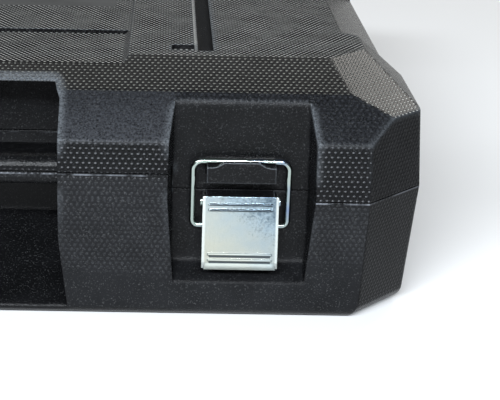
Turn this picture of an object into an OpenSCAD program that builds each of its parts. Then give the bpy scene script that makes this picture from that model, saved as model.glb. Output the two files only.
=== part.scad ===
// Blow-moulded hard case for a power tool: a base and a hinged lid, a carrying
// grip formed by both halves, and two wire draw latches.
// Lengths are in millimetres. The case lies flat on z = 0 with its latches
// towards -Y and its hinge towards +Y.

/* [Case] */
// Width over the side walls
case_w = 470; // [430:1:520]
// Depth over the front and rear walls, without the hinge barrels
case_d = 360; // [340:1:420]
// Height with the lid closed
case_h = 105.5; // [102:0.5:112]
// Height of the base's rim outside the centre section
rim_z = 55.5; // [52:0.5:58]
// Extra height of the rim in the centre section
centre_rise = 11; // [9:0.5:13]
// How far the centre section reaches in behind each latch pocket's side
centre_lap = 1.5; // [0.5:0.1:1.7]
// Gap between the rims of the closed case
rim_gap = 0.4; // [0.3:0.05:0.6]
// Lean of the lid's walls
lid_draft = 3.5; // [2:0.1:5]
// Lean of the base's walls
base_draft = 4.7; // [3:0.1:6]
// Size of the 45 degree flat on each upright corner
corner_flat = 24.5; // [18:0.5:28]
// Radius of the base's bottom edge at its walls
bottom_r = 7; // [5:0.5:8]
// Radius of the base's bottom edge at its corners
corner_bottom_r = 9; // [8.5:0.5:12]

/* [Lid top] */
// Drop from the top face to the upper edge of the walls
roof_drop = 16; // [13:0.5:16]
// The same drop at the corners
corner_drop = 16.4; // [16.4:0.2:19]
// Run of the front slope, from the top face to the wall
front_run = 44; // [38:0.5:50]
// Run of the slope over the front corners
corner_run = 41; // [36:0.5:46]
// Run of the side and rear slopes
side_run = 20; // [16:0.5:26]
// Height above the rim of the ridge under the front and side bands
ridge_h = 24.5; // [22:0.5:26]
// Lean of the front band
front_band_lean = 50; // [46:0.5:53]
// Lean of the side bands
side_band_lean = 47.5; // [45:0.5:50]
// Distance of the side bands' ends from the front and rear walls
side_band_end = 84; // [75:1:95]
// Distance of the sunk panel's sides from the side walls
panel_inset = 129; // [123:0.5:137]
// Depth of the sunk panel at its front and rear
panel_deep = 2.4; // [1.6:0.1:3]
// Depth of the sunk panel in the middle
panel_shallow = 0.9; // [0.6:0.1:1.2]
// Distance from the front wall to the step in the panel
panel_step_y = 94; // [84:1:104]
// Width of the long grooves
groove_w = 6.8; // [5:0.1:8]
// Depth of the long grooves and short slots
groove_depth = 3; // [2:0.1:3.5]
// Distance of the long grooves from the side walls
groove_inset = 93; // [88:0.5:97]
// Distance of the grooves' ends from the front and rear walls
groove_end = 55; // [50:1:62]
// Length of the short slots
slot_l = 10; // [8:0.5:11]

/* [Grip] */
// Half width of the grip's pocket
grip_half_w = 80.5; // [76:0.5:84]
// Depth of the grip's pocket behind the front wall
grip_pocket_d = 58; // [54:0.5:60]
// Height of the grip bar
grip_h = 13.2; // [12:0.2:18]
// Depth of the grip bar, front to back
grip_d = 24; // [20:0.5:28]

/* [Tray] */
// Thickness left under the tray
tray_floor = 5; // [4:0.5:8]
// Thickness of the hollow walls at the sides and rear
wall_w = 22; // [20:0.5:26]
// Distance from the front wall to the tray
tray_front = 72; // [68:1:78]
// Lean of the walls of the tray and of the lid's hollow
bay_draft = 3; // [1:0.5:5]
// Depth, front to rear, of the bay for the tool's body
body_bay_d = 96; // [84:1:104]
// Width of the bay for the tool's grip
grip_bay_w = 66; // [56:1:72]
// Turn of the grip's bay away from the cable bay
grip_bay_turn = 10; // [6:0.5:12]
// Width of the bay for bits, beside the tool's body
bit_bay_w = 62; // [50:1:70]
// Height of the bit bay's floor above the other floors
bit_bay_rise = 16; // [8:1:22]
// Distance of the cable bay's near wall from the middle
cable_bay_x = 70; // [60:1:80]
// Thickness of the walls between the bays
bay_wall = 14; // [10:0.5:18]
// How far the walls between the bays stay below the rim
bay_wall_drop = 12; // [8:0.5:16]
// Radius of the finger notches in the wall behind the tool's body
notch_r = 22; // [16:0.5:26]
// Thickness left over the hollow in the lid
lid_roof = 7; // [5:0.5:9]
// Depth of the lid's two pads that hold the tool down
pad_h = 18; // [12:0.5:22]

/* [Seam] */
// Distance of the rim's rib from the side and rear walls
seam_inset = 9; // [8:0.5:11]
// Width of the rib on the base's rim, which enters a groove in the lid
seam_w = 3; // [2:0.1:3.5]
// Height of that rib
seam_h = 2.2; // [1.5:0.1:2.5]

/* [Hinge] */
// Distance of the hinges' middles from the side walls
hinge_inset = 85; // [65:1:105]
// Length of each hinge
hinge_l = 62; // [50:1:80]
// Outside radius of the knuckles
knuckle_r = 5; // [4.5:0.1:6]
// Distance of the hinge line behind the rear wall
hinge_back = 1; // [0.8:0.1:2]
// Radius of the hinge pins
hinge_pin_r = 2; // [1.5:0.1:2.5]
// Radial clearance between a pin and its bore
pin_clear = 0.05; // [0.03:0.01:0.08]
// Gap between neighbouring knuckles
knuckle_gap = 0.4; // [0.3:0.05:0.6]

/* [Latches] */
// Distance of the latches' middles from the side walls
latch_inset = 78; // [75:0.5:81]
// Half width of a latch pocket
pocket_half_w = 31; // [30:0.5:33]
// Depth of a latch pocket at the rim
pocket_d = 14.6; // [14:0.1:16]
// Width of the lever
lever_w = 32; // [30:0.5:34]
// Length of the lever's plate
lever_l = 31; // [29:0.2:33]
// Lean of the lever's plate, its lower edge outwards
lever_lean = 7.5; // [6:0.5:8]
// Thickness of the lever's sheet
sheet_t = 1.2; // [1:0.1:1.4]
// Distance of the lever's pivot below the rim
pivot_drop = 3.5; // [3.3:0.1:3.8]
// Distance of the lever's pivot behind the front wall
pivot_y = 9.6; // [9.4:0.1:9.8]
// Radius of the lever's pivot pin
pivot_pin_r = 1.5; // [1.3:0.1:1.8]
// Distance from the lever's pivot down to the bail's pivot
throw = 11; // [10:0.2:12]
// How far the bail's pivot lies behind the lever's, which locks the latch
over_centre = 0.7; // [0.4:0.1:1]
// Radius of the bail's wire
wire_r = 1.25; // [1:0.05:1.4]
// Outside width of the bail
bail_w = 43; // [41:0.5:45]
// Distance between the bail's pivot and its bar
bail_l = 28.6; // [27.5:0.1:29.5]
// Centreline radius of the bail's upper corners
bail_bend_r = 4; // [3:0.25:5]
// Width of the catch
catch_w = 29; // [27:0.5:31]
// Width of the catch's lip at its foot
lip_w = 20.8; // [18:0.2:23]
// Gap between the bail's bar and the lip that holds it
lip_gap = 0.55; // [0.5:0.05:0.8]
// Thickness of the catch's lip
lip_t = 2.4; // [2:0.1:2.8]
// Clearance between parts that move past each other
clear = 0.35; // [0.3:0.05:0.4]

/* [Hidden] */
$fn = 48;
eps = 0.01;
far = 600;
plastic = [0.12, 0.12, 0.13];
zinc = [0.78, 0.8, 0.82];

// How far a cutting form runs past the face that it opens, and how far it
// reaches in front of the front wall.
over = 1;
reach = 20;

// Places across the case, all kept from the side walls.
latch_x = case_w / 2 - latch_inset;
hinge_x = case_w / 2 - hinge_inset;
groove_x = case_w / 2 - groove_inset;
panel_half_w = case_w / 2 - panel_inset;
centre_half_w = latch_x - pocket_half_w + centre_lap;

// The hinge barrels stand behind the rear wall, and the whole is centred on them.
front_y = -(case_d + hinge_back + knuckle_r) / 2;
hinge_y = case_d + hinge_back;
hinge_z = rim_z + rim_gap / 2;
ridge_z = rim_z + ridge_h;
ridge_in = ridge_h * tan(lid_draft);
centre_rim = rim_z + centre_rise;
centre_back = grip_pocket_d + 8;
corner_d = (case_w / 2 + case_d / 2 - corner_flat) / sqrt(2);

// Side bands: the slant of their ends, and the length over which they narrow.
band_slant = 6;
band_narrow = 32;

// Short slots beside the grooves.
slot_w = 9;
slot_depth = 1.8;
slot_off = 1.5;

// Latch pocket: leans of its back above and below the rim, flare of its sides
// in plan, their taper, its depth below the rim, and the floor that scoops out.
pocket_lean = 4.4;
pocket_low_lean = 2;
pocket_flare = 8.6;
pocket_taper = 3;
pocket_h = 38.5;
scoop_drop = 32;
scoop_slope = 0.6;

// Grip pocket: its scooped floor, leans of its back, its roof behind the front
// slope, and the flare at the foot and the chamfer at the top of its sides.
grip_floor = 4;
grip_scoop = 0.5;
grip_low_lean = 4;
grip_high_lean = 6;
grip_roof_drop = 14;
grip_roof_slope = 0.232;
grip_flare = 4;
grip_flare_z = 36;
grip_chamfer = [4, 8];

// Grip bar: set-back from the front wall, roundness, and length in the pillars.
grip_set = 1.2;
grip_round = 0.42;
grip_buried = 6;

// Tray: corner radii in plan, the ledge round the bays, and the places of the
// grip's bay as a share of the half width, the finger notches and the lid's pads.
bay_r = 14;
ledge = 3;
seam_r = 20;
grip_bay_at = -0.6;
notch_x = [-10, 120];
pad_x = [-75, 35];
pad_size = [40, 58];

// Latch, measured from the front wall and the base's bottom.
pivot_z = rim_z - pivot_drop;
bail_y = pivot_y + over_centre;
bail_z = pivot_z - throw;
bar_z = bail_z + bail_l;
bar_y = bail_y;
boss_r = pivot_drop - 0.2;
boss_foot = 9;
catch_floor = bar_z - wire_r - clear;
catch_under = rim_z + 5.6;
lip_back = bar_y - wire_r - lip_gap;
lip_front = lip_back - lip_t;
lip_top = bar_z + 0.6;
lip_fillet = [2, 0.4];
lip_narrow = 0.68;
leg_x = bail_w / 2 - wire_r;
bail_foot_r = 2.6;

// Lever: its plate's stand-off and upper edge, the turned-out lower edge, the
// ears' sheet round the pivots and their taper, and the pressed lines.
plate_off = boss_r + clear + sheet_t + 0.75;
lever_top = 3.2;
lip_out = 0.5;
lip_up = 2.2;
ear_r = pivot_drop + 0.9;
eye_wall = 1.7;
ear_foot = 1.5;
ear_knee = 9;
line_r = 0.55;
line_in = 2.6;
line_top = [3.4, 5.8];
line_low = [3.5, 6];
pin_head = 0.8;
pin_head_r = pivot_pin_r + 0.5;

// ---- outlines --------------------------------------------------------------

// Points of an arc about c, from angle a0 to angle a1.
function arc(c, r, a0, a1, steps) =
    [for (i = [0:steps]) let (a = a0 + (a1 - a0) * i / steps) [c[0] + r * cos(a), c[1] + r * sin(a)]];

// Points of a rectangle with round corners, given by its low and high corners.
function round_box(low, high, r, steps = 4) =
    concat(arc([high[0] - r, high[1] - r], r, 0, 90, steps),
           arc([low[0] + r, high[1] - r], r, 90, 180, steps),
           arc([low[0] + r, low[1] + r], r, 180, 270, steps),
           arc([high[0] - r, low[1] + r], r, 270, 360, steps));

// A half outline, given from its foot to its head on the right, made whole.
function whole(half) =
    concat(half, [for (i = [len(half) - 1:-1:0]) [-half[i][0], half[i][1]]]);

// Upright section of the lid across one wall. The first coordinate points
// outwards from the foot of the wall.
function lid_section(run, drop) =
    let (
        wall_top = case_h - drop,
        in_at_top = (wall_top - rim_z) * tan(lid_draft)
    )
    [[-far, rim_z - 2], [-1, rim_z - 2], [0, rim_z], [-in_at_top, wall_top],
     [-in_at_top - run, case_h], [-far, case_h]];

// The same for the base, with its bottom edge rounded.
function base_section(r) =
    let (
        in_at_arc = (rim_z - r) * tan(base_draft),
        centre = [-in_at_arc - r / cos(base_draft), r]
    )
    concat([[-far, rim_z], [0, rim_z]],
           arc(centre, r, -base_draft, -90, 5),
           [[-far, 0]]);

// Section of everything above a band that leans back from its ridge.
function band_section(lean) =
    [[-ridge_in, ridge_z], [far, ridge_z], [far, far],
     [-ridge_in - (far - ridge_z) * tan(lean), far]];

// ---- forms -----------------------------------------------------------------

// Extrudes an upright section along the wall that faces the angle a in plan,
// 0 being the front and 90 the right, d being its distance from the middle.
module along_wall(section, a, d, length = 2 * far)
    translate([0, case_d / 2, 0])
    rotate([90, 0, a - 90])
    translate([d, 0, -length / 2])
    linear_extrude(length)
    polygon(section);

// Extrudes an outline in y and z between two values of x.
module across(outline, x0, x1)
    translate([x0, 0, 0])
    rotate([90, 0, 90])
    linear_extrude(x1 - x0)
    polygon(outline);

// Extrudes an outline in x and z between two values of y.
module backwards(outline, y0, y1)
    translate([0, y1, 0])
    rotate([90, 0, 0])
    linear_extrude(y1 - y0)
    polygon(outline);

// Upright prism on an outline in x and y.
module upright(outline, z0, z1)
    translate([0, 0, z0])
    linear_extrude(z1 - z0)
    polygon(outline);

// Places its children at x and mirrored at -x.
module both_sides(x) {
    translate([x, 0, 0]) children();
    mirror([1, 0, 0]) translate([x, 0, 0]) children();
}

// Lid without its pockets and hollow: walls that lean in, and slopes to the top.
module lid_form()
    intersection() {
        along_wall(lid_section(front_run, roof_drop), 0, case_d / 2);
        along_wall(lid_section(side_run, roof_drop), 180, case_d / 2);
        intersection_for(a = [90, 270]) along_wall(lid_section(side_run, roof_drop), a, case_w / 2);
        intersection_for(a = [45, 315]) along_wall(lid_section(corner_run, corner_drop), a, corner_d);
        intersection_for(a = [135, 225]) along_wall(lid_section(side_run, corner_drop), a, corner_d);
    }

// Base without its pockets and tray.
module base_form()
    intersection() {
        intersection_for(a = [0, 180]) along_wall(base_section(bottom_r), a, case_d / 2);
        intersection_for(a = [90, 270]) along_wall(base_section(bottom_r), a, case_w / 2);
        intersection_for(a = [45, 135, 225, 315]) along_wall(base_section(corner_bottom_r), a, corner_d);
    }

// Centre section in which the rim stands higher, with a gap all round it.
module centre_block(gap, top)
    translate([-centre_half_w - gap, -far, rim_z - over])
    cube([2 * (centre_half_w + gap), far + centre_back + gap, top - rim_z + over]);

// Plane bands that lean back above the ridges at the front and the sides.
module bands() {
    along_wall(band_section(front_band_lean), 0, case_d / 2);
    intersection() {
        for (a = [90, 270]) along_wall(band_section(side_band_lean), a, case_w / 2);
        side_band_plan(case_w / 2 + over);
    }
}

// Plan of the side bands, whose ends run inwards and away from the corners.
module side_band_plan(half_w) {
    e = side_band_end;
    slant = side_run + band_slant;
    outline = [[half_w, e - band_slant], [half_w - slant, e + band_slant],
               [half_w - 2 * slant, e + band_narrow], [half_w - 2 * slant, case_d - e - band_narrow],
               [half_w - slant, case_d - e - band_slant], [half_w, case_d - e + band_slant]];
    upright(outline, rim_z, case_h + over);
    mirror([1, 0, 0]) upright(outline, rim_z, case_h + over);
}

// Sunk panel in the middle of the top, which runs out through the slopes.
module top_panel() {
    foot = panel_half_w;
    head = foot + panel_deep + over;
    deep = whole([[foot, case_h - panel_deep], [head, case_h + over]]);
    shallow = whole([[foot + panel_deep - panel_shallow, case_h - panel_shallow], [head, case_h + over]]);
    backwards(deep, -over, panel_step_y);
    backwards(shallow, panel_step_y - eps, case_d - panel_step_y + eps);
    backwards(deep, case_d - panel_step_y, case_d + over);
}

// Long grooves with a short slot beside each end.
module top_grooves()
    both_sides(groove_x) {
        translate([-groove_w / 2, groove_end, case_h - groove_depth])
        cube([groove_w, case_d - 2 * groove_end, groove_depth + over]);
        for (y = [groove_end + over, case_d - groove_end - over - slot_w])
        translate([-groove_w / 2 - slot_off - slot_l, y, case_h - slot_depth])
        cube([slot_l, slot_w, slot_depth + over]);
    }

// Pocket in which a latch lies, about x = 0. Its floor scoops out to the front.
module latch_pocket() {
    floor_z = rim_z - scoop_drop;
    back_low = pocket_d - scoop_drop * tan(pocket_low_lean);
    back_top = pocket_d + (case_h - rim_z) * tan(pocket_lean);
    foot = pocket_half_w - pocket_taper;
    w = pocket_half_w;
    flare = reach * tan(pocket_flare);
    intersection() {
        across([[-reach, floor_z - (back_low + reach) * scoop_slope], [back_low, floor_z],
                [pocket_d, rim_z], [back_top, case_h], [-reach, case_h]], -far, far);
        backwards(whole([[foot, 0], [foot, rim_z - pocket_h], [w, rim_z], [w, case_h]]),
                  -reach, 2 * reach);
        upright([[-w - flare, -reach], [w + flare, -reach], [w - flare, reach], [flare - w, reach]],
                0, case_h);
    }
}

// Pocket behind the grip, open to the front and through the front slope.
module grip_pocket() {
    w = grip_half_w;
    roof_z = case_h - grip_roof_drop;
    floor_back = grip_floor + grip_pocket_d * grip_scoop;
    back_low = grip_pocket_d - (centre_rim - floor_back) * tan(grip_low_lean);
    back_high = grip_pocket_d - (roof_z - centre_rim) * tan(grip_high_lean);
    side_top = case_h - grip_chamfer[0];
    intersection() {
        across([[-reach, grip_floor - (reach + grip_floor) * grip_scoop],
                [back_low, grip_floor + (back_low - grip_floor) * grip_scoop],
                [grip_pocket_d, centre_rim], [back_high, roof_z],
                [-reach, roof_z + (back_high + reach) * grip_roof_slope]], -far, far);
        backwards(whole([[w + grip_flare, 0], [w, grip_flare_z], [w, side_top - grip_chamfer[1]],
                         [w - grip_chamfer[0], side_top]]), -reach, grip_pocket_d + reach);
    }
}

// Bar of the grip between two heights, let into the pillars at both ends.
module grip_bar(z0, z1)
    intersection() {
        across(round_box([grip_set, centre_rim - grip_h / 2],
                         [grip_set + grip_d, centre_rim + grip_h / 2], grip_h * grip_round, 6),
               -grip_half_w - grip_buried, grip_half_w + grip_buried);
        translate([-far, 0, z0]) cube([2 * far, far, z1 - z0]);
    }

// ---- inside ----------------------------------------------------------------

in_w = case_w / 2 - wall_w;
tray_back = case_d - wall_w;
body_back = tray_front + body_bay_d;

// Recess with leaning walls and round corners. Its outline is true at z1 and
// draws in towards z0, so z0 above z1 makes one that narrows upwards.
module bay(low, high, z0, z1) {
    in = abs(z1 - z0) * tan(bay_draft);
    up = z1 > z0 ? 1 : -1;
    past = z1 + up * over;
    intersection() {
        backwards([[low[0] + in, z0], [high[0] - in, z0], [high[0], z1], [high[0], past],
                   [low[0], past], [low[0], z1]], low[1], high[1]);
        across([[low[1] + in, z0], [high[1] - in, z0], [high[1], z1], [high[1], past],
                [low[1], past], [low[1], z1]], low[0], high[0]);
        upright(round_box(low, high, bay_r), min(z0, past), max(z0, past));
    }
}

// Bays for the tool's body and grip, its cable and its bits, and a common space
// above the walls between them.
module tray() {
    shelf = rim_z - bay_wall_drop;
    low = [ledge - in_w, tray_front + ledge];
    high = [in_w - ledge, tray_back - ledge];
    cable_y = body_back + bay_wall;
    bay(low, [in_w - bit_bay_w - bay_wall, body_back], tray_floor, shelf);
    bay([in_w - bit_bay_w, low[1]], [high[0], body_back], tray_floor + bit_bay_rise, shelf);
    bay([-cable_bay_x, cable_y], high, tray_floor, shelf);
    intersection() {
        translate([grip_bay_at * in_w, body_back, 0])
        rotate(grip_bay_turn)
        bay([-grip_bay_w / 2, -2 * bay_r], [grip_bay_w / 2, tray_back], tray_floor, shelf);
        upright(round_box(low, high, bay_r), 0, case_h);
    }
    for (x = notch_x)
    translate([x, cable_y + bay_r, shelf])
    rotate([90, 0, 0])
    cylinder(r = notch_r, h = bay_wall + 2 * bay_r);
    bay([-in_w, tray_front], [in_w, tray_back], shelf, centre_rim + over);
}

// Hollow in the lid's inner wall, with two pads left standing in it.
module lid_hollow() {
    inset = bay_wall / 2;
    roof = case_h - panel_deep - lid_roof;
    pad_y = tray_front + body_bay_d / 2 - pad_size[1] / 2;
    difference() {
        bay([-in_w + inset, tray_front + inset], [in_w - inset, tray_back - inset], roof, rim_z);
        for (x = pad_x)
        bay([x, pad_y], [x + pad_size[0], pad_y + pad_size[1]], roof - pad_h, roof);
    }
}

// Rib round the sides and rear of the rim, or its groove where grow is a gap.
module seam(grow, z0, z1) {
    out = [case_w / 2 - seam_inset + grow, case_d - seam_inset + grow];
    inside = out - [1, 1] * (seam_w + 2 * grow);
    difference() {
        upright(round_box([-out[0], -far], out, seam_r + grow), z0, z1);
        upright(round_box([-inside[0], -far], inside, seam_r - seam_w - grow), z0 - over, z1 + over);
        translate([-far, -2 * far, z0 - over])
        cube([2 * far, 2 * far + tray_front - grow, z1 - z0 + 2 * over]);
    }
}

// ---- hinge -----------------------------------------------------------------

knuckle_l = (hinge_l - 4 * knuckle_gap) / 5;

// Cylinders on the hinge line, at the places of the knuckles that are counted in
// which: 0, 2 and 4 belong to the base, 1 and 3 to the lid.
module on_hinge(which, r, grow)
    both_sides(hinge_x)
    for (i = which)
    translate([-hinge_l / 2 + i * (knuckle_l + knuckle_gap) - grow, hinge_y, hinge_z])
    rotate([0, 90, 0])
    cylinder(r = r, h = knuckle_l + 2 * grow);

module hinge_bores()
    both_sides(hinge_x)
    translate([-hinge_l / 2 - over, hinge_y, hinge_z])
    rotate([0, 90, 0])
    cylinder(r = hinge_pin_r + pin_clear, h = hinge_l + 2 * over);

// Plain pin, its ends just inside the outer knuckles.
module hinge_pin()
    translate([hinge_x - hinge_l / 2 + clear, hinge_y, hinge_z])
    rotate([0, 90, 0])
    cylinder(r = hinge_pin_r, h = hinge_l - 2 * clear);

// ---- latch, about x = 0 ----------------------------------------------------

// Boss on the base that carries the lever's pivot.
module latch_boss() {
    half = lever_w / 2 - sheet_t - clear;
    translate([-half, pivot_y, pivot_z])
    rotate([0, 90, 0])
    cylinder(r = boss_r, h = 2 * half);
    translate([-half, pivot_y, pivot_z - boss_foot])
    cube([2 * half, pocket_d + 2 * over - pivot_y, boss_foot + boss_r]);
}

// Catch on the lid: a block, and a lip that keeps the bail's bar in its groove.
module catch() {
    foot = lip_w / 2;
    low = catch_floor - eps;
    translate([-catch_w / 2, lip_front, catch_under])
    cube([catch_w, pocket_d + 3 * over - lip_front, catch_floor - catch_under]);
    backwards(whole([[foot + lip_fillet[0], low], [foot, catch_floor + lip_fillet[1]],
                     [foot * lip_narrow, lip_top]]), lip_front, lip_back);
}

// Lever of bent sheet: a plate, two ears and pressed lines along its ends. It is
// drawn with its pivot at the origin and its plate upright, then leaned.
module lever() {
    half = lever_w / 2;
    face = -plate_off;
    low = lever_top - lever_l;
    bail_at = [over_centre * cos(lever_lean) + throw * sin(lever_lean),
               over_centre * sin(lever_lean) - throw * cos(lever_lean)];
    ear = concat([[face + sheet_t / 2, lever_top]],
                 arc([0, 0], ear_r, 100, 0, 6),
                 arc(bail_at, wire_r + eye_wall, 0, -60, 4),
                 [[face + lip_up + ear_foot, low + ear_knee], [face + lip_up, low + ear_foot],
                  [face + sheet_t / 2, low + ear_foot]]);
    translate([0, pivot_y, pivot_z])
    rotate([-lever_lean, 0, 0])
    difference() {
        union() {
            translate([-half, face, low]) cube([lever_w, sheet_t, lever_l]);
            across([[face - lip_out, low - lip_out], [face, low + lip_up], [face + sheet_t, low + lip_up],
                    [face + sheet_t - lip_out, low - lip_out]], over - half, half - over);
            across(ear, -half, -half + sheet_t);
            across(ear, half - sheet_t, half);
            for (z = concat([for (d = line_top) lever_top - d], [for (d = line_low) low + d]))
            translate([line_in - half, face + line_r / 4, z])
            rotate([0, 90, 0])
            cylinder(r = line_r, h = lever_w - 2 * line_in, $fn = 24);
        }
        translate([-half - over, 0, 0])
        rotate([0, 90, 0])
        cylinder(r = pivot_pin_r + pin_clear, h = lever_w + 2 * over);
        translate([-half - over, bail_at[0], bail_at[1]])
        rotate([0, 90, 0])
        cylinder(r = wire_r + pin_clear, h = lever_w + 2 * over);
    }
}

// Round wire along x, from x0 to x1.
module wire_x(x0, x1, y, z)
    translate([x0, y, z])
    rotate([0, 90, 0])
    cylinder(r = wire_r, h = x1 - x0);

// Quarter turn of wire about y, from the +x side towards +z.
module wire_bend(r)
    rotate([90, 0, 0])
    rotate_extrude(angle = 90)
    translate([r, 0])
    circle(r = wire_r);

// Bail of round wire, whose lower ends turn in through the lever's ears.
module bail() {
    foot_z = bail_z + bail_foot_r;
    wire_x(-leg_x + bail_bend_r, leg_x - bail_bend_r, bar_y, bar_z);
    for (m = [0, 1])
    mirror([m, 0, 0]) {
        translate([leg_x - bail_bend_r, bar_y, bar_z - bail_bend_r]) wire_bend(bail_bend_r);
        translate([leg_x, bar_y, foot_z])
        cylinder(r = wire_r, h = bar_z - bail_bend_r - foot_z);
        translate([leg_x - bail_foot_r, bail_y, foot_z])
        mirror([0, 0, 1])
        wire_bend(bail_foot_r);
        wire_x(lever_w / 2 - sheet_t + pin_clear, leg_x - bail_foot_r, bail_y, bail_z);
    }
}

// Pivot pin with a flat head outside each ear.
module latch_pin() {
    half = lever_w / 2 + pin_clear;
    translate([-half - pin_head, pivot_y, pivot_z])
    rotate([0, 90, 0])
    cylinder(r = pivot_pin_r, h = 2 * (half + pin_head));
    for (x = [-half - pin_head, half])
    translate([x, pivot_y, pivot_z])
    rotate([0, 90, 0])
    cylinder(r = pin_head_r, h = pin_head);
}

// ---- sub-parts -------------------------------------------------------------

module base()
    color(plastic)
    translate([0, front_y, 0])
    difference() {
        union() {
            difference() {
                union() {
                    base_form();
                    intersection() {
                        lid_form();
                        centre_block(0, centre_rim);
                    }
                }
                both_sides(latch_x) latch_pocket();
                grip_pocket();
                tray();
                on_hinge([1, 3], knuckle_r + clear, knuckle_gap);
            }
            grip_bar(0, centre_rim);
            seam(0, rim_z - over, rim_z + seam_h);
            both_sides(latch_x) latch_boss();
            on_hinge([0, 2, 4], knuckle_r, 0);
        }
        hinge_bores();
        both_sides(latch_x)
        translate([-lever_w / 2, pivot_y, pivot_z])
        rotate([0, 90, 0])
        cylinder(r = pivot_pin_r + pin_clear, h = lever_w);
    }

module lid()
    color(plastic)
    translate([0, front_y, 0])
    difference() {
        union() {
            difference() {
                lid_form();
                translate([-far, -far, 0]) cube([2 * far, 2 * far, rim_z + rim_gap]);
                centre_block(rim_gap, centre_rim + rim_gap);
                bands();
                top_panel();
                top_grooves();
                both_sides(latch_x) latch_pocket();
                grip_pocket();
                lid_hollow();
                seam(clear, 0, rim_z + seam_h + clear);
                on_hinge([0, 2, 4], knuckle_r + clear, knuckle_gap);
            }
            grip_bar(centre_rim + rim_gap, far);
            both_sides(latch_x) catch();
            on_hinge([1, 3], knuckle_r, 0);
        }
        hinge_bores();
    }

// Places a latch piece on the left or the right.
module at_latch(side)
    translate([side * latch_x, front_y, 0])
    children();

module at_hinge(side)
    translate([0, front_y, 0])
    mirror([side < 0 ? 1 : 0, 0, 0])
    children();

module hinge_pin_left() color(zinc) at_hinge(-1) hinge_pin();
module hinge_pin_right() color(zinc) at_hinge(1) hinge_pin();
module latch_lever_left() color(zinc) at_latch(-1) lever();
module latch_lever_right() color(zinc) at_latch(1) lever();
module latch_bail_left() color(zinc) at_latch(-1) bail();
module latch_bail_right() color(zinc) at_latch(1) bail();
module latch_pin_left() color(zinc) at_latch(-1) latch_pin();
module latch_pin_right() color(zinc) at_latch(1) latch_pin();

base();
lid();
hinge_pin_left();
hinge_pin_right();
latch_lever_left();
latch_lever_right();
latch_bail_left();
latch_bail_right();
latch_pin_left();
latch_pin_right();
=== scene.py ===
import math

import bmesh
import bpy
import numpy as np
from mathutils import Matrix, Vector


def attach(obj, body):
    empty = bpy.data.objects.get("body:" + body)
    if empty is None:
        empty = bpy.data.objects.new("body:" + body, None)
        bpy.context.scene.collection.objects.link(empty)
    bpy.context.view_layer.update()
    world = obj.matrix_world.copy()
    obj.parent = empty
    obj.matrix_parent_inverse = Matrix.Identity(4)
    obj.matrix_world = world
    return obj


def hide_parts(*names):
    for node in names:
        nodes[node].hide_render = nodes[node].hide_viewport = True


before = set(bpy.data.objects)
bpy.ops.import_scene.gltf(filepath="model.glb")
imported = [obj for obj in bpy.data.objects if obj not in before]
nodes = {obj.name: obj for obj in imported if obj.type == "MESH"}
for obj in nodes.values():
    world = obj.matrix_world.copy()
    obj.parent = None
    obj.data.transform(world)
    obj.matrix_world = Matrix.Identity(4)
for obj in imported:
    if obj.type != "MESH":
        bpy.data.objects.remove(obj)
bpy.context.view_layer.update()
scene = bpy.context.scene
print("case: frame loaded,", len(nodes), "nodes")


# Wraps one socket, so that shader maths reads as plain expressions.
class Wire:
    def __init__(self, graph, socket):
        self.graph = graph
        self.socket = socket

    def calc(self, operation, *others, clamp=False):
        values = {i + 1: other for i, other in enumerate(others)}
        values[0] = self
        return self.graph.add("ShaderNodeMath", {"operation": operation, "use_clamp": clamp}, values)

    def flipped(self, operation, other):
        return self.graph.add("ShaderNodeMath", {"operation": operation}, {0: other, 1: self})

    def __add__(self, other):
        return self.calc("ADD", other)

    def __radd__(self, other):
        return self.flipped("ADD", other)

    def __sub__(self, other):
        return self.calc("SUBTRACT", other)

    def __rsub__(self, other):
        return self.flipped("SUBTRACT", other)

    def __mul__(self, other):
        return self.calc("MULTIPLY", other)

    def __rmul__(self, other):
        return self.flipped("MULTIPLY", other)

    def __truediv__(self, other):
        return self.calc("DIVIDE", other)

    def __rtruediv__(self, other):
        return self.flipped("DIVIDE", other)

    def __gt__(self, other):
        return self.calc("GREATER_THAN", other)

    def __lt__(self, other):
        return self.calc("LESS_THAN", other)

    def floor(self):
        return self.calc("FLOOR")

    def fract(self):
        return self.calc("FRACT")

    def size(self):
        return self.calc("ABSOLUTE")

    def clamped(self):
        return self.calc("ADD", 0, clamp=True)

    # 0 below low, 1 above high, straight between them
    def ramp(self, low, high):
        return ((self - low) * (1 / (high - low))).clamped()

    # 1 within inner of the middle, 0 beyond outer, straight between them
    def line(self, middle, inner, outer):
        return 1 - (self - middle).size().ramp(inner, outer)

    # a noise times gain plus base, kept from 0 to 1, which breaks a finish up into patches
    def patches(self, gain, base):
        return (self * gain + base).clamped()


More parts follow.
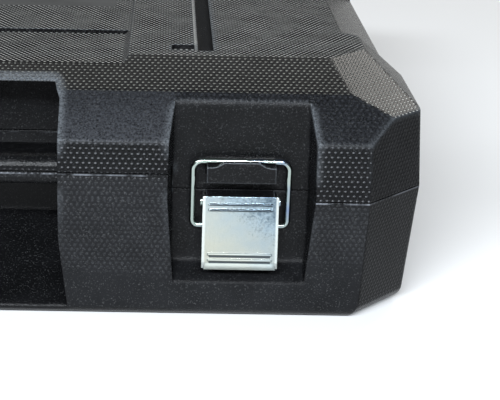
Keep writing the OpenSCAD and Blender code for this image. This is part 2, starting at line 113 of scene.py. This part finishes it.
class Graph:
    def __init__(self, name):
        self.material = bpy.data.materials.new(name)
        self.material.use_nodes = True
        self.tree = self.material.node_tree
        self.tree.nodes.clear()

    # Adds a node: its settings first, then the values or wires of its sockets.
    def add(self, kind, settings=None, values=None, out=0):
        node = self.tree.nodes.new(kind)
        for key, value in (settings or {}).items():
            setattr(node, key, value)
        for key, value in (values or {}).items():
            if isinstance(value, Wire):
                self.tree.links.new(value.socket, node.inputs[key])
            else:
                node.inputs[key].default_value = value
        return Wire(self, node.outputs[out]) if len(node.outputs) else None

    # Object coordinates, whole and as x, y and z.
    def place(self):
        whole = self.add("ShaderNodeTexCoord", out="Object")
        return whole, *self.parts(whole)

    def parts(self, vector):
        x = self.add("ShaderNodeSeparateXYZ", {}, {0: vector})
        return [Wire(self, output) for output in x.socket.node.outputs]

    # kind is the noise's scale, detail and roughness.
    def noise(self, vector, kind):
        scale, detail, roughness = kind
        return self.add("ShaderNodeTexNoise", {"noise_dimensions": "3D"},
                        {"Vector": vector, "Scale": scale, "Detail": detail, "Roughness": roughness})

    def mixColour(self, amount, first, second):
        return self.add("ShaderNodeMix", {"data_type": "RGBA"}, {0: amount, 6: first, 7: second}, out=2)

    def vector(self, operation, first, second=None):
        values = {0: first}
        if second is not None:
            values[1] = second
        return self.add("ShaderNodeVectorMath", {"operation": operation}, values)

    def scaled(self, vector, amount):
        return self.add("ShaderNodeVectorMath", {"operation": "SCALE"}, {0: vector, "Scale": amount})

    def bump(self, height, distance, strength, under):
        return self.add("ShaderNodeBump", {},
                        {"Height": height, "Distance": distance, "Strength": strength, "Normal": under})

    def rounding(self, radius, samples):
        return self.add("ShaderNodeBevel", {"samples": samples}, {"Radius": radius})

    # Share of the rays within reach that leave freely: from the surface, or inside the plastic.
    def openness(self, reach, inside, samples=12):
        settings = {"inside": inside, "only_local": True, "samples": samples}
        return self.add("ShaderNodeAmbientOcclusion", settings, {"Distance": reach}, out=1)

    def finish(self, values):
        shader = self.add("ShaderNodeBsdfPrincipled", {}, values)
        self.add("ShaderNodeOutputMaterial", {}, {"Surface": shader})
        return self.material


# The moulded plastic of both halves. Its faces are sorted into kinds: wall, flat (the slanting
# corners), band and roof (the steeper and the flatter slopes of the lid), top, plain (pockets,
# grooves and the inside) and fine (round the latch's bosses). Lengths are in metres. Two numbers
# called patches are a noise's gain and base, and two called from, to or fade are a range.
shellLook = {
    "colour": (0.0026, 0.0027, 0.0030, 1),
    "paleColour": (0.0048, 0.0050, 0.0056, 1),
    "paleFrom": (0.3, 0.7),        # of the mottle
    "ior": {"top": 1.14, "flat": 1.16, "wall": 1.20, "else": 1.22},
    "roughness": {"top": 0.27, "bare": 0.60, "else": 0.25},
    "roughnessVaries": {"mottle": 0.06, "grain": 0.10},
    "grain": (1300, 2.0, 0.6),     # noises: scale, detail and roughness
    "mottle": (60, 3.0, 0.55),
    "glintNoise": (1500, 1.0, 0.5),
    "grainHeight": 0.00020,
    "radius": {"plain": 0.0036, "fine": 0.0009, "else": 0.0026},  # of the moulded edges
    "edgeSamples": 8,
    "dots": {  # pitch along a row, row spacing over pitch, radius, height, and share of the grain
        "wall": {"pitch": 0.0025, "ratio": 0.83, "radius": 0.00105, "height": 0.00036, "grain": 0.25},
        "flat": {"pitch": 0.0021, "ratio": 0.83, "radius": 0.00085, "height": 0.00009, "grain": 0.4},
        "band": {"pitch": 0.0025, "ratio": 0.83, "radius": 0.00110, "height": 0.00016, "grain": 0.6},
        "roof": {"pitch": 0.0025, "ratio": 0.83, "radius": 0.00095, "height": 0.00036, "grain": 0.2},
        "top": {"pitch": 0.0025, "ratio": 0.83, "radius": 0.00105, "height": 0.00036, "grain": 0.2},
    },
    "parting": {
        "round": 0.0557,           # its height all round
        "pillars": 0.0665,         # and on the grip's pillars
        "pillarsTo": 0.1285,       # x of the pillars' outer sides
        "fade": 0.002,             # depth under it over which the base's finish comes in
        "sharp": 0.12,             # share of the edge radius that is left at the parting
        "sharpTo": (0.003, 0.009),  # distances over which the radius grows back
    },
    "foot": {                      # where the dots of the base end
        "start": (0.060, 0.0255),  # x of the grip's side, and the height of their end there
        "fall": 0.11,              # drop of that end for each metre outwards
        "level": (0.180, 0.0262),  # x beyond which it is level again, and its height there
        "fade": (-0.001, 0.004),
        "fainter": 0.3,            # share that the base's dots lose
    },
    "underPocket": {               # the lower end of each latch's pocket, without dots
        "middle": 0.157,
        "half": 0.0278,
        "height": 0.030,
        "front": -0.150,           # the pockets lie in front of this y
        "fade": (0.001, 0.0075),   # depths over which the paler colour comes in
    },
    "bare": {                      # smooth patch in the middle of the top
        "half": 0.099,
        "from": -0.040,
        "to": 0.034,
        "colour": (0.085, 0.085, 0.083, 1),
        "patches": (0.8, 0.5),
    },
    "palingAndPaintedLight": {  # paler patches on the base's walls and in its pockets' lower ends, painted light on the bands; the band's fade is a range of heights, over which it gets fainter
        "wall": {"colour": (0.0105, 0.0110, 0.0122, 1), "patches": (1.2, 0.1), "fade": 0.003},
        "plain": {"colour": (0.0105, 0.0110, 0.0122, 1), "patches": (0.9, 0.0)},
        "band": {"colour": (0.058, 0.062, 0.070, 1), "patches": (2.4, -0.7), "onPillars": 0.80,
                 "beside": 0.25, "fade": (0.084, 0.098), "fainter": 0.6},
    },
    "step": {"above": 0.1008, "grain": 0.24, "least": 0.02},  # share of the rim highlight's colour painted on it as light
    "glints": {"plain": 0.6, "fine": 0.5, "band": 1.0, "else": 0.4, "base": 0.9},  # painted glints; base: its walls
    "glintFrom": (0.60, 0.74),
    "glintColour": (0.040, 0.041, 0.042, 1),
    "paintedHighlight": {  # painted highlights on the dots' tips, from a range of the cap, which is 0 at its rim and 1 in its middle
        "top": {"colour": (0.46, 0.46, 0.44, 1), "from": (0.45, 0.90)},
        "roof": {"colour": (0.16, 0.16, 0.145, 1), "from": (0.58, 0.95)},
        "wall": {"colour": (0.042, 0.044, 0.048, 1), "from": (0.35, 0.80), "crescent": (0.6, 1.3),
                 "crescentFainter": 0.75, "patches": (1.6, -0.45)},
        "band": {"colour": (0.026, 0.028, 0.033, 1), "from": (0.35, 0.80), "grain": 2.4, "least": -0.8},
    },
    "highlightPatches": (0.9, 0.45),
    "sides": {                     # a painted sheen: the roof is paler outwards
        "from": 0.199,             # x where that starts, and how far it takes to grow
        "reach": 0.030,
        "ends": 0.118,             # y beyond which the ground between the dots stays dark
        "ground": (0.050, 0.049, 0.047, 1),
        "paintedHighlight": (0.62, 0.61, 0.57, 1),
    },
    "rim": {                       # painted highlight along the front edge of the top and beside its grooves
        "colour": (0.48, 0.47, 0.44, 1),
        "front": -0.1330,
        "frontWidth": 0.003,
        "groove": (0.1378, 0.00042, 0.00084),  # x, and where its line starts to fade and ends
        "grooveEnd": 0.128,
        "patches": (1.5, 0.1),
    },
    "edgeHighlight": {                       # painted highlights on outer edges
        "colour": (0.105, 0.115, 0.126, 1),
        "reach": {"fine": 0.0008, "else": 0.0045},
        "from": (0.08, 0.50),      # share of the rays inside the plastic that are stopped
        "facing": (1.3, 0.5),      # gain and base for how much the edge looks up
        "height": (0.030, 0.070),  # heights over which it grows
        "patches": (2.6, -0.6),
        "below": 0.099,            # the small steps in the top stay dark
        "parting": (0.0055, 0.0095),  # distances from the parting over which it starts
    },
    "partingHighlight": {                     # painted highlight: a thin line under the parting, in segments
        "colour": (0.16, 0.17, 0.19, 1),
        "line": (-0.0007, 0.00015, 0.00045),  # height over the parting, and half widths
        "patches": (6.0, -2.7),
        "share": {"wall": 1.0, "flat": 0.35, "plain": 0.15},
    },
}


# Staggered rows of round caps. A cap is height * (1 - q)^2 tall, q the squared distance from its
# middle over its squared radius, so it slopes by -4 * height * distance * (1 - q) / radius^2.
def capSlopes(u, v, dot):
    pitch, row, radius = dot["pitch"], dot["pitch"] * dot["ratio"], dot["radius"]
    stagger = ((v / row).floor() * 0.5).fract()
    du = ((u / pitch + stagger).fract() - 0.5) * pitch
    dv = ((v / row).fract() - 0.5) * row
    cap = (1 - (du * du + dv * dv) / radius ** 2).clamped()
    steep = cap * (-4 * dot["height"] / radius ** 2)
    return du * steep, dv * steep, cap


# The value for this kind of face, or the one for all others.
def pick(values, kind):
    return values.get(kind, values["else"])


# One finish of the plastic, with what its effects read: the place, the noises, and the height over
# the parting, which is higher on the grip's pillars. low is 1 on the base, under the parting.
class ShellGraph(Graph):
    def __init__(self, kind):
        super().__init__("shell" + kind.capitalize())
        look, parting = shellLook, shellLook["parting"]
        self.kind = kind
        place, self.x, self.y, self.z = self.place()
        self.grain = self.noise(place, look["grain"])
        self.mottle = self.noise(place, look["mottle"])
        self.glintNoise = self.noise(place, look["glintNoise"])
        self.pillar = (self.x.size() < parting["pillarsTo"]) * (self.y < 0)
        self.over = self.z - parting["round"] - self.pillar * (parting["pillars"] - parting["round"])
        self.low = (0 - self.over).ramp(0.0, parting["fade"])
        if kind in ("wall", "plain"):
            pocket = look["underPocket"]
            self.atPocket = (self.x.size() - pocket["middle"]).size() < pocket["half"]
        if kind == "top":
            bare = look["bare"]
            self.bare = (self.x.size() < bare["half"]) * (self.y > bare["from"]) * (self.y < bare["to"])


# Rounds the moulded edges; the edge of the parting stays sharp.
def roundedNormal(g):
    parting = shellLook["parting"]
    growth = parting["sharp"] + g.over.size().ramp(*parting["sharpTo"]) * (1 - parting["sharp"])
    return g.rounding(growth * pick(shellLook["radius"], g.kind), shellLook["edgeSamples"])


# Where the dots stand: 1 there, 0 on the foot of the base, under its pockets and on the bare patch.
def dotsShown(g):
    if g.kind == "top":
        return 1 - g.bare
    if g.kind != "wall":
        return 1.0
    foot, pocket = shellLook["foot"], shellLook["underPocket"]
    startX, startZ = foot["start"]
    levelX, levelZ = foot["level"]
    end = startZ - (g.x.size() - startX) * foot["fall"]
    end = end + (g.x.size() > levelX) * (levelZ - end)
    clear = 1 - g.atPocket * (g.z < pocket["height"])
    return (g.z - end).ramp(*foot["fade"]) * clear * (1 - g.low * foot["fainter"])


# Leans the normal by the slopes along a row and across the rows.
def leanNormal(g, normal, slopeU, slopeV):
    along = g.add("ShaderNodeTangent", {"direction_type": "UV_MAP", "uv_map": "lattice"})
    across = g.vector("CROSS_PRODUCT", normal, along)
    lean = g.vector("ADD", g.scaled(along, slopeU), g.scaled(across, slopeV))
    return g.vector("NORMALIZE", g.vector("SUBTRACT", normal, lean))


# Paler patches in the grain on the base's walls and in the lower ends of its pockets, and painted light on
# the lid's bands, where there is most on the pillars and least at the top.
def paledWithPaintedLight(g, colour):
    look = shellLook
    if g.kind not in look["palingAndPaintedLight"]:
        return colour
    palingAndPaintedLight = look["palingAndPaintedLight"][g.kind]
    amount = (g.grain if g.kind == "band" else g.mottle).patches(*palingAndPaintedLight["patches"])
    if g.kind == "wall":
        amount = amount * (0 - g.over).ramp(0.0, palingAndPaintedLight["fade"])
    if g.kind == "plain":
        pocket = look["underPocket"]
        depth = (pocket["height"] - g.z).ramp(*pocket["fade"])
        amount = amount * depth * g.atPocket * (g.y < pocket["front"])
    if g.kind == "band":
        amount = amount * (g.pillar * (palingAndPaintedLight["onPillars"] - palingAndPaintedLight["beside"]) + palingAndPaintedLight["beside"])
        amount = amount * (1 - g.z.ramp(*palingAndPaintedLight["fade"]) * palingAndPaintedLight["fainter"])
    return g.mixColour(amount, colour, palingAndPaintedLight["colour"])


# The slanting step in the top is a band too, but painted paler with painted light.
def paintedLightOnStep(g, colour):
    step = shellLook["step"]
    amount = (g.z > step["above"]) * (g.grain * step["grain"] + step["least"])
    return g.mixColour(amount, colour, shellLook["rim"]["colour"])


# Fine painted glints, more of them on the base than on the lid's walls.
def glinted(g, colour):
    look = shellLook
    amount = pick(look["glints"], g.kind)
    if g.kind == "wall":
        amount = amount + g.low * (look["glints"]["base"] - amount)
    return g.mixColour(g.glintNoise.ramp(*look["glintFrom"]) * amount, colour, look["glintColour"])


# Painted highlights on the tips of the dots. On the lid's walls it is a crescent on the upper side of each
# dot, where the slope up the face is steep; on the base it is broken discs.
def paintedTipHighlights(g, colour, dot, slopeV, cap, shown):
    look = shellLook
    shine = look["paintedHighlight"][g.kind]
    paintedHighlight = shine["colour"]
    tip = cap.ramp(*shine["from"])
    if g.kind == "wall":
        crescent = (slopeV * (-dot["radius"] / dot["height"])).ramp(*shine["crescent"])
        broken = tip * g.low * g.grain.patches(*shine["patches"])
        tip = crescent * (1 - g.low * shine["crescentFainter"]) + broken
    if g.kind == "band":
        tip = tip * (g.grain * shine["grain"] + shine["least"])
    tip = tip.clamped() * shown * g.mottle.patches(*look["highlightPatches"])
    if g.kind == "roof":
        sides = look["sides"]
        outwards = (g.x.size() - sides["from"]).ramp(0.0, sides["reach"])
        paintedHighlight = g.mixColour(outwards, paintedHighlight, sides["paintedHighlight"])
        colour = g.mixColour(outwards * (g.y.size() < sides["ends"]), colour, sides["ground"])
    if g.kind == "top":
        rim = look["rim"]
        paintedHighlight = g.mixColour((rim["front"] - g.y).ramp(0.0, rim["frontWidth"]), paintedHighlight, rim["colour"])
    return g.mixColour(tip, colour, paintedHighlight)


# The bare patch of the top, and the painted highlight along the inner side of each groove.
def topDetails(g, colour):
    bare, rim = shellLook["bare"], shellLook["rim"]
    colour = g.mixColour(g.bare * g.mottle.patches(*bare["patches"]), colour, bare["colour"])
    side = g.x.size().line(*rim["groove"]) * (g.y.size() < rim["grooveEnd"])
    return g.mixColour(side * g.grain.patches(*rim["patches"]), colour, rim["colour"])


# Painted highlights on the edges, where they look up and stand proud, but not along the parting, and a thin
# painted highlight just under it.
def paintedEdgeHighlights(g, colour, rounded):
    edgeHighlight, partingHighlight = shellLook["edgeHighlight"], shellLook["partingHighlight"]
    near = g.openness(pick(edgeHighlight["reach"], g.kind), True)
    facing = g.add("ShaderNodeVectorTransform",
                   {"vector_type": "NORMAL", "convert_from": "WORLD", "convert_to": "OBJECT"}, {0: rounded})
    rise = g.parts(facing)[2]
    amount = (1 - near).ramp(*edgeHighlight["from"]) * rise.patches(*edgeHighlight["facing"]) * g.z.ramp(*edgeHighlight["height"])
    amount = amount * g.grain.patches(*edgeHighlight["patches"])
    if g.kind in ("plain", "wall"):
        amount = amount * (g.z < edgeHighlight["below"])
    if g.kind != "fine":
        amount = amount * g.over.size().ramp(*edgeHighlight["parting"])
    if g.kind in partingHighlight["share"]:
        line = g.over.line(*partingHighlight["line"]) * g.mottle.patches(*partingHighlight["patches"])
        colour = g.mixColour(line * partingHighlight["share"][g.kind], colour, partingHighlight["colour"])
    return g.mixColour(amount, colour, edgeHighlight["colour"])


def shellMaterial(kind):
    g = ShellGraph(kind)
    look, dot = shellLook, shellLook["dots"].get(kind)
    rounded = roundedNormal(g)
    normal = rounded
    if dot:
        u, v, _ = g.parts(g.add("ShaderNodeUVMap", {"uv_map": "lattice"}))
        slopeU, slopeV, cap = capSlopes(u, v, dot)
        shown = dotsShown(g)
        normal = leanNormal(g, rounded, slopeU * shown, slopeV * shown)
    normal = g.bump(g.grain, look["grainHeight"] * (dot["grain"] if dot else 1.0), 1.0, normal)
    rough, varies = pick(look["roughness"], kind), look["roughnessVaries"]
    roughness = rough + (g.mottle - 0.5) * varies["mottle"] + (g.grain - 0.5) * varies["grain"]
    if kind == "top":
        roughness = roughness + g.bare * (look["roughness"]["bare"] - rough)
    colour = g.mixColour(g.mottle.ramp(*look["paleFrom"]), look["colour"], look["paleColour"])
    colour = paledWithPaintedLight(g, colour)
    if kind == "band":
        colour = paintedLightOnStep(g, colour)
    colour = glinted(g, colour)
    if kind in look["paintedHighlight"]:
        colour = paintedTipHighlights(g, colour, dot, slopeV, cap, shown)
    if kind == "top":
        colour = topDetails(g, colour)
    colour = paintedEdgeHighlights(g, colour, rounded)
    return g.finish({"Base Color": colour, "Roughness": roughness, "Normal": normal,
                     "IOR": pick(look["ior"], kind)})


# The zinc-plated steel of the latches and hinge pins. The plate is the latch's lever; everything
# else is wire.
zincLook = {
    "blue": {"plate": (0.27, 0.34, 0.38, 1), "wire": (0.19, 0.25, 0.39, 1)},
    "yellow": {"plate": (0.43, 0.44, 0.38, 1), "wire": (0.35, 0.41, 0.38, 1)},
    # colour of the painted shade
    "paintedShade": (0.05, 0.08, 0.11, 1),
    # colour of the painted highlight on the plate's side edges
    "edge": (0.62, 0.66, 0.64, 1),
    # colour of the painted shade in creases and pressed lines
    "creaseShade": (0.03, 0.04, 0.05, 1),
    "roughness": {"plate": 0.20, "wire": 0.15},
    "roughnessVaries": {"brush": 0.10, "cloud": 0.06, "bead": 0.35, "lip": 0.22},
    "brush": (1500, 3.0, 0.6),     # noises: scale, detail and roughness
    "cloud": (160, 3.0, 0.6),
    "patch": (60, 2.0, 0.5),
    "fine": (1100, 2.0, 0.6),
    "brushStretch": (1.0, 1.0, 0.3),
    "brushHeight": 0.00002,
    "brushStrength": 0.5,
    "middle": (0.157, 0.040),      # of the latch's plate: x, z
    "warm": {"middle": 0.5, "up": 34, "out": 24, "cloud": 0.9},
    "wireWarm": (0.42, 0.58),
    "shade": {"up": 30, "out": 24, "cloud": 0.9, "fine": 1.7, "from": (0.25, 0.95)},
    "sides": (0.0146, 0.0152),     # from the middle to its side edges, which get a painted highlight
    "lines": (0.05253, 0.05015, 0.03020, 0.02770),  # heights of the pressed lines, which get painted shade
    "lineWidth": (0.00032, 0.00056),
    "lineHalf": 0.0130,
    "beads": (0.03112, 0.02864),   # heights of the lower raised lines, which are duller and painted darker, a painted shade that damps their glints
    "beadWidth": (0.0005, 0.0009),
    "beadHalf": 0.0140,
    "lipBelow": 0.0278,
    "lipFade": 0.0004,
    "radius": {"wire": 0.0001, "plate": 0.0005, "lip": 0.0030},  # of its edges
    "edgeSamples": 6,
    "amounts": {"shade": 0.9, "bead": 0.3, "lip": 0.4, "sides": 0.8, "strokeShade": 0.9},
    "creaseShadeReach": 0.0012,
    "creaseShadeTo": (0.60, 0.90),
}


# Lines across the plate at these heights, 1 on each.
def pressedLines(z, out, heights, width, half):
    lines = 0.0
    for height in heights:
        lines = z.line(height, *width) + lines
    return (lines * (out.size() < half)).clamped()


# The plate goes darker, a painted shade, and bluer towards its upper outer corner: a slope of the distances
# from its middle, across and up. Its pressed lines get painted shade at their roots, its lower raised lines
# and lip are painted darker, and its side edges get a painted highlight; the creases of all the zinc get
# painted shade.
def zincMaterial(part):
    g = Graph("zinc" + part.capitalize())
    look, amounts = zincLook, zincLook["amounts"]
    place, x, y, z = g.place()
    stretched = g.add("ShaderNodeMapping", {}, {"Vector": place, "Scale": look["brushStretch"]})
    brush = g.noise(stretched, look["brush"])
    cloud = g.noise(place, look["cloud"])
    varies = look["roughnessVaries"]
    roughness = look["roughness"][part] + (brush - 0.5) * varies["brush"] + (cloud - 0.5) * varies["cloud"]
    radius = look["radius"][part]
    if part == "plate":
        middleX, middleZ = look["middle"]
        out, rise = x.size() - middleX, z - middleZ
        warm, shade = look["warm"], look["shade"]
        fine = g.noise(place, look["fine"])
        warmth = warm["middle"] - rise * warm["up"] - out * warm["out"]
        warmth = (warmth + (cloud - 0.5) * warm["cloud"]).clamped()
        paintedShade = rise * shade["up"] + out * shade["out"] + (cloud - 0.5) * shade["cloud"]
        paintedShade = (paintedShade + (fine - 0.5) * shade["fine"]).ramp(*shade["from"])
        strokeShade = pressedLines(z, out, look["lines"], look["lineWidth"], look["lineHalf"])
        bead = pressedLines(z, out, look["beads"], look["beadWidth"], look["beadHalf"])
        lip = (look["lipBelow"] - z).ramp(0.0, look["lipFade"])
        radius = lip * (look["radius"]["lip"] - radius) + radius
        roughness = roughness + bead * varies["bead"] + lip * varies["lip"]
    else:
        warmth = g.noise(place, look["patch"]).ramp(*look["wireWarm"])
    colour = g.mixColour(warmth, look["blue"][part], look["yellow"][part])
    if part == "plate":
        colour = g.mixColour(paintedShade * amounts["shade"], colour, look["paintedShade"])
        # painted shade over the lower raised lines and the lip
        colour = g.mixColour(bead * amounts["bead"] + lip * amounts["lip"], colour, look["paintedShade"])
        colour = g.mixColour(out.size().ramp(*look["sides"]) * amounts["sides"], colour, look["edge"])
        colour = g.mixColour(strokeShade * amounts["strokeShade"], colour, look["creaseShade"])
    # painted shade in the creases
    opened = g.openness(look["creaseShadeReach"], False)
    colour = g.mixColour(opened.ramp(*look["creaseShadeTo"]), look["creaseShade"], colour)
    rounded = g.rounding(radius, look["edgeSamples"])
    normal = g.bump(brush, look["brushHeight"], look["brushStrength"], rounded)
    return g.finish({"Base Color": colour, "Metallic": 1.0, "Roughness": roughness, "Normal": normal})


shellKinds = ("plain", "wall", "flat", "band", "roof", "top", "fine")
shellMaterials = [shellMaterial(kind) for kind in shellKinds]
zinc = {part: zincMaterial(part) for part in ("plate", "wire")}
print("case: materials made")


# Each moulded half gets a skin: its own shape, with its faces sorted by finish.
skinLook = {
    "mergeWithin": 1e-6,
    "flatWithin": 0.6,      # degrees between faces that are joined
    "smoothUnder": 12,      # degrees between the facets of one round
    "levelUnder": 0.12,     # faces that lean less than this are laid out along x
    "depth": 0.0042,        # how far under the hull a face may lie and still be outer skin
    "leastArea": 1e-7,
    "upright": 0.3,         # how much faces look up: the upright ones less than this
    "bandFrom": 0.6,
    "roofFrom": 0.772,
    "topFrom": 0.98,
    "slanting": 0.5,        # the corners look this much to the front and to the side
    "recess": (0.6, 0.7),   # the sunk slopes at the sides look this much aside and up
    "slopesFrom": 0.075,    # faces that look up are slopes of the lid only above this height
    "wallsTo": 0.098,       # upright faces above are the small steps in the top
    "grooveBelow": 0.1028,  # faces of the top that lie lower are the floor of its groove
    "fineAt": (0.157, 0.0165, -0.150),  # round the latch's bosses: middle, half width, rear end
}


# One property of every face, corner or point of a mesh: an array with a row for each.
def rowsOf(items, name, width=1, kind=np.float64):
    values = np.empty(len(items) * width, kind)
    items.foreach_get(name, values)
    return values.reshape(-1, width) if width > 1 else values


# A merged copy of a CAD node, with its flat faces joined.
def skinOf(node):
    look = skinLook
    mesh = nodes[node].data.copy()
    work = bmesh.new()
    work.from_mesh(mesh)
    bmesh.ops.remove_doubles(work, verts=work.verts, dist=look["mergeWithin"])
    flat, sharpFrom = math.radians(look["flatWithin"]), math.radians(look["smoothUnder"])
    bmesh.ops.dissolve_limit(work, angle_limit=flat, verts=work.verts, edges=work.edges)
    for edge in work.edges:
        edge.smooth = len(edge.link_faces) == 2 and edge.calc_face_angle(0) < sharpFrom
    for face in work.faces:
        face.smooth = True
    work.to_mesh(mesh)
    work.free()
    piece = bpy.data.objects.new(node + "Skin", mesh)
    scene.collection.objects.link(piece)
    return piece


# Lays each face out in its own plane: u runs level, v runs up the slope.
def layLattice(mesh):
    normals = rowsOf(mesh.polygons, "normal", 3)
    count = len(normals)
    level = np.stack([-normals[:, 1], normals[:, 0], np.zeros(count)], axis=1)
    length = np.linalg.norm(level, axis=1)
    flat = length < skinLook["levelUnder"]
    level[flat] = (1, 0, 0)
    length[flat] = 1
    level /= length[:, None]
    rising = np.cross(normals, level)
    owner = np.repeat(np.arange(count), rowsOf(mesh.polygons, "loop_total", kind=np.int64))
    corner = rowsOf(mesh.loops, "vertex_index", kind=np.int64)
    points = rowsOf(mesh.vertices, "co", 3)[corner]
    uv = np.stack([(points * level[owner]).sum(1), (points * rising[owner]).sum(1)], axis=1)
    layer = mesh.uv_layers.new(name="lattice")
    layer.data.foreach_set("uv", uv.astype(np.float32).ravel())


# Depth of each face under the convex hull of the mesh: its middle's least distance from the hull's
# planes.
def depthUnderHull(mesh):
    cloud = bpy.data.meshes.new("cloud")
    cloud.from_pydata(rowsOf(mesh.vertices, "co", 3), [], [])
    hull = bmesh.new()
    hull.from_mesh(cloud)
    bpy.data.meshes.remove(cloud)
    bmesh.ops.convex_hull(hull, input=hull.verts)
    planes = []
    for face in hull.faces:
        if face.calc_area() > skinLook["leastArea"]:
            planes.append((*face.normal, face.normal.dot(face.verts[0].co)))
    hull.free()
    planes = np.array(planes)
    centres = rowsOf(mesh.polygons, "center", 3)
    return (planes[:, 3][None] - centres @ planes[:, :3].T).min(axis=1)


# Sorts faces by how far they lie under the hull, how much they look up and where they look.
def faceKinds(mesh):
    look = skinLook
    side, front, rise = rowsOf(mesh.polygons, "normal", 3).T
    _, y, height = rowsOf(mesh.polygons, "center", 3).T
    index = {kind: i for i, kind in enumerate(shellKinds)}
    outer = depthUnderHull(mesh) < look["depth"]
    upright = outer & (np.abs(rise) < look["upright"])
    slopes = outer & (height > look["slopesFrom"])
    kinds = np.full(len(rise), index["plain"])
    kinds[upright & (height < look["wallsTo"])] = index["wall"]
    kinds[upright & (np.minimum(np.abs(side), np.abs(front)) > look["slanting"])] = index["flat"]
    kinds[slopes & (rise > look["bandFrom"]) & (rise < look["roofFrom"])] = index["band"]
    kinds[slopes & (rise >= look["roofFrom"])] = index["roof"]
    kinds[slopes & (rise > look["topFrom"])] = index["top"]
    kinds[(kinds == index["top"]) & (height < look["grooveBelow"])] = index["plain"]
    aside, up = look["recess"]
    plainSlopes = (kinds == index["plain"]) & (height > look["slopesFrom"])
    kinds[plainSlopes & (rise > up) & (np.abs(side) > aside)] = index["roof"]
    middle, half, rear = look["fineAt"]
    x = rowsOf(mesh.vertices, "co", 3)[rowsOf(mesh.loops, "vertex_index", kind=np.int64), 0]
    starts = rowsOf(mesh.polygons, "loop_start", kind=np.int64)
    furthest = np.maximum.reduceat(np.abs(np.abs(x) - middle), starts)
    kinds[(kinds == index["plain"]) & (furthest < half) & (y < rear)] = index["fine"]
    return kinds


shells = {"lid": "lid", "base": "base"}
for node, body in shells.items():
    piece = skinOf(node)
    mesh = piece.data
    layLattice(mesh)
    mesh.materials.clear()
    for material in shellMaterials:
        mesh.materials.append(material)
    kinds = faceKinds(mesh)
    mesh.polygons.foreach_set("material_index", kinds.astype(np.int32))
    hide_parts(node)
    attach(piece, body)
    print("case:", node, "skin,", len(kinds), "faces,", int((kinds > 0).sum()), "patterned")

for name, node in nodes.items():
    if name not in shells:
        node.data.materials.clear()
        node.data.materials.append(zinc["plate" if "lever" in name else "wire"])
print("case: hardware plated")


# Floor, light and camera. The long front strip lights the walls and their dots from above, the
# rear softbox the slopes at the corner and the side, and the back one the top.
stageLook = {
    "floorHalf": 6,
    "floorColour": (0.88, 0.88, 0.88, 1),
    "floorRoughness": 0.9,
    "worldColour": (0.92, 0.96, 1.0, 1),
    "worldStrength": 0.10,
    "softboxes": {
        "front": {"at": (-0.15, -1.65, 0.98), "aim": (0.1, -0.15, 0.06), "size": (1.8, 0.16), "watts": 80,
                  "colour": (0.90, 0.95, 1.0)},
        "rear": {"at": (0.95, 1.25, 1.15), "aim": (0.1, -0.1, 0.1), "size": (0.7, 0.5), "watts": 8,
                 "colour": (1.0, 0.97, 0.92)},
        "back": {"at": (-0.1, 1.15, 1.70), "aim": (0.1, 0.0, 0.1), "size": (1.6, 0.30), "watts": 4,
                 "colour": (1.0, 0.98, 0.94)},
    },
}

far = stageLook["floorHalf"]
floorMesh = bpy.data.meshes.new("floor")
floorCorners = [(-far, -far, 0), (far, -far, 0), (far, far, 0), (-far, far, 0)]
floorMesh.from_pydata(floorCorners, [], [(0, 1, 2, 3)])
floor = bpy.data.objects.new("floor", floorMesh)
scene.collection.objects.link(floor)
floorPaint = Graph("floorPaint")
floorMesh.materials.append(floorPaint.finish({"Base Color": stageLook["floorColour"],
                                              "Roughness": stageLook["floorRoughness"]}))

world = bpy.data.worlds.new("studio")
world.use_nodes = True
scene.world = world
background = world.node_tree.nodes["Background"]
background.inputs["Color"].default_value = stageLook["worldColour"]
background.inputs["Strength"].default_value = stageLook["worldStrength"]

for name, box in stageLook["softboxes"].items():
    light = bpy.data.lights.new(name, "AREA")
    light.shape = "RECTANGLE"
    light.size, light.size_y = box["size"]
    light.energy = box["watts"]
    light.color = box["colour"]
    lamp = bpy.data.objects.new(name, light)
    lamp.location = box["at"]
    lamp.rotation_euler = (Vector(box["aim"]) - Vector(box["at"])).to_track_quat("-Z", "Y").to_euler()
    lamp.visible_camera = False
    scene.collection.objects.link(lamp)

cameraLook = {
    "at": (0.1241, -0.7369, 0.2597),
    "pitch": 20.7,          # degrees down
    "yaw": 0.74,            # degrees to the right
    "roll": 1.26,           # degrees
    "lens": 102.38,
    "sensor": 36,
    "shift": (0.1412, 0.024),
    "nearest": 0.01,
}
pitch, yaw, roll = (math.radians(cameraLook[key]) for key in ("pitch", "yaw", "roll"))
ahead = Vector((math.sin(yaw) * math.cos(pitch), math.cos(yaw) * math.cos(pitch), -math.sin(pitch)))
level = ahead.cross(Vector((0, 0, 1))).normalized()
upright = level.cross(ahead)
side = level * math.cos(roll) + upright * math.sin(roll)
up = upright * math.cos(roll) - level * math.sin(roll)
camera = bpy.data.objects.new("camera", bpy.data.cameras.new("camera"))
camera.data.sensor_width = cameraLook["sensor"]
camera.data.lens = cameraLook["lens"]
camera.data.shift_x, camera.data.shift_y = cameraLook["shift"]
camera.data.clip_start = cameraLook["nearest"]
turn = Matrix((side, up, -ahead)).transposed().to_4x4()
camera.matrix_world = Matrix.Translation(Vector(cameraLook["at"])) @ turn
scene.collection.objects.link(camera)
scene.camera = camera
scene.view_settings.view_transform = "Standard"
print("case: stage, lights and camera set")
